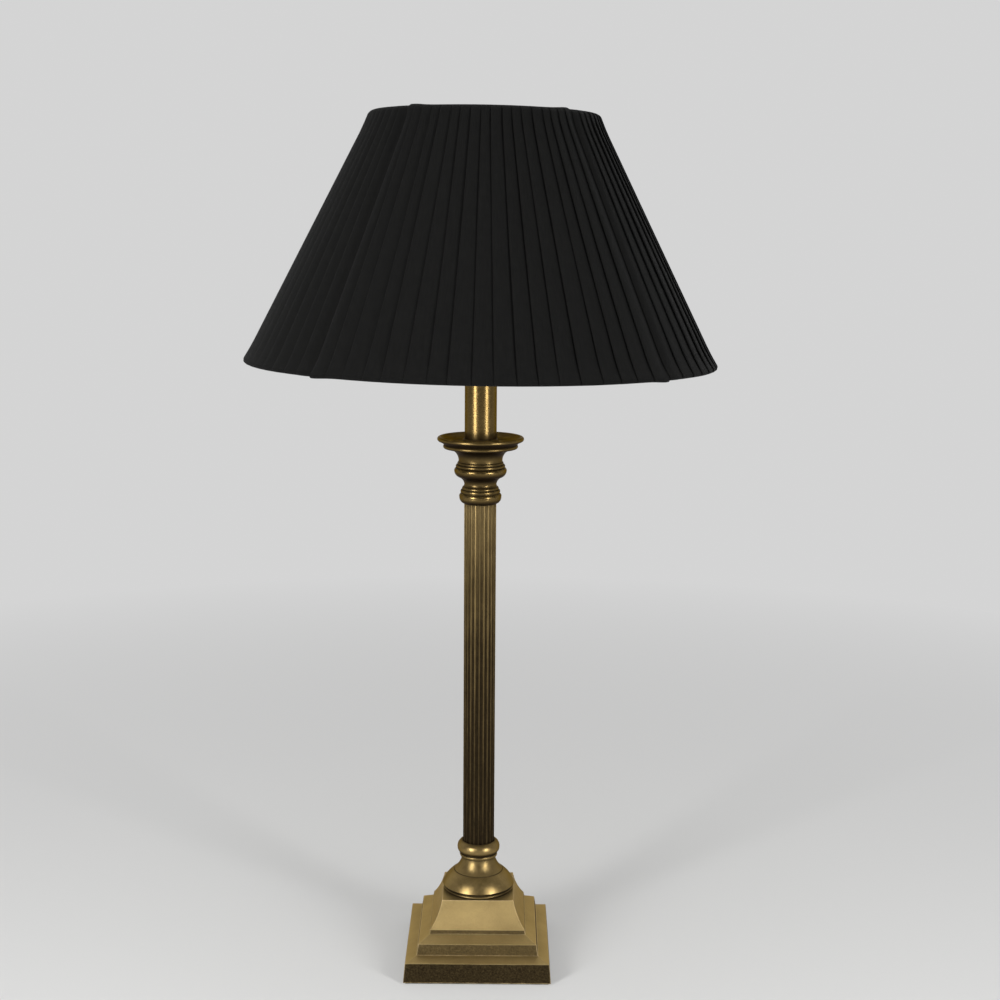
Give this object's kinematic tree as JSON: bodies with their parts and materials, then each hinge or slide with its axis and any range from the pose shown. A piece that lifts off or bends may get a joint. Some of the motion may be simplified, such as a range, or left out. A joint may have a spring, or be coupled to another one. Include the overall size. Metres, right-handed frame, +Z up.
{
  "type": "candlestick table lamp",
  "caption": "Candlestick table lamp: stepped square plinth, fluted column, drip pan and candle tube under a lobed, pleated black shade.",
  "frame": {"origin": "on the standing surface, on the axis of the stem", "axes": "+Z up along the stem, front towards -Y, switch bar along X"},
  "size_m": [0.403, 0.403, 0.7528],
  "materials": {
    "antique_brass": "aged satin brass with dark patina in the recesses",
    "brass": "satin",
    "zinc_steel": "zinc plated",
    "black_steel": "black painted",
    "cast_iron": "raw casting",
    "felt": "wool felt",
    "black_plastic": "moulded",
    "porcelain": "glazed porcelain",
    "nickel": "nickel plated",
    "bulb_glass": "pearl glass",
    "stem_glass": "clear glass",
    "tungsten": "drawn wire",
    "white_wire": "white powder coat",
    "black_cloth": "fine matt polyester chiffon",
    "lining_cloth": "cream taffeta"
  },
  "bodies": {
    "stand": {"base_felt": "felt", "base_cover": "black_steel", "cover_screws": "zinc_steel", "base_weight": "cast_iron", "plinth": "antique_brass", "cord_bush": "black_plastic", "cord_bush_nut": "black_plastic", "threaded_rod": "zinc_steel", "rod_washer": "zinc_steel", "rod_lock_washer": "zinc_steel", "rod_nut_bottom": "zinc_steel", "rod_nut_top": "brass", "foot_bell": "antique_brass", "foot_collar": "antique_brass", "column": "antique_brass", "column_bushing_lower": "zinc_steel", "column_bushing_upper": "zinc_steel", "column_cap": "antique_brass", "knop": "antique_brass", "drip_pan": "antique_brass", "tube_ring": "antique_brass", "candle_tube": "antique_brass", "tube_cap": "antique_brass", "lampholder_cap": "brass", "lampholder_skirt": "brass", "holder_insert": "porcelain", "terminal_screws": "brass", "screw_shell": "nickel", "centre_contact": "brass", "shade_ring_lower": "brass", "shade_ring_upper": "brass"},
    "shade": {"shade_fitter": "white_wire", "shade_arms": "white_wire", "shade_top_wire": "white_wire", "shade_bottom_wire": "white_wire", "shade_ribs": "white_wire", "shade_cover": "black_cloth", "shade_lining": "lining_cloth", "shade_top_trim": "black_cloth", "shade_bottom_trim": "black_cloth"},
    "bulb": {"bulb_tip": "nickel", "bulb_insulator": "black_plastic", "bulb_cap": "nickel", "bulb_glass": "bulb_glass", "bulb_stem": "stem_glass", "bulb_filament": "tungsten"},
    "switch": {"switch_bar": "black_plastic"}
  },
  "joints": [
    {"name": "shade_swivel", "type": "hinge", "parent": "stand", "child": "shade", "pos_m": [0, 0, 0.6115], "axis": [0, 0, 1], "continuous": true},
    {"name": "bulb_turn", "type": "hinge", "parent": "stand", "child": "bulb", "pos_m": [0, 0, 0.62], "axis": [0, 0, 1], "continuous": true},
    {"name": "switch_slide", "type": "slide", "parent": "stand", "child": "switch", "axis": [1, 0, 0], "range_m": [0, 0.007]}
  ]
}
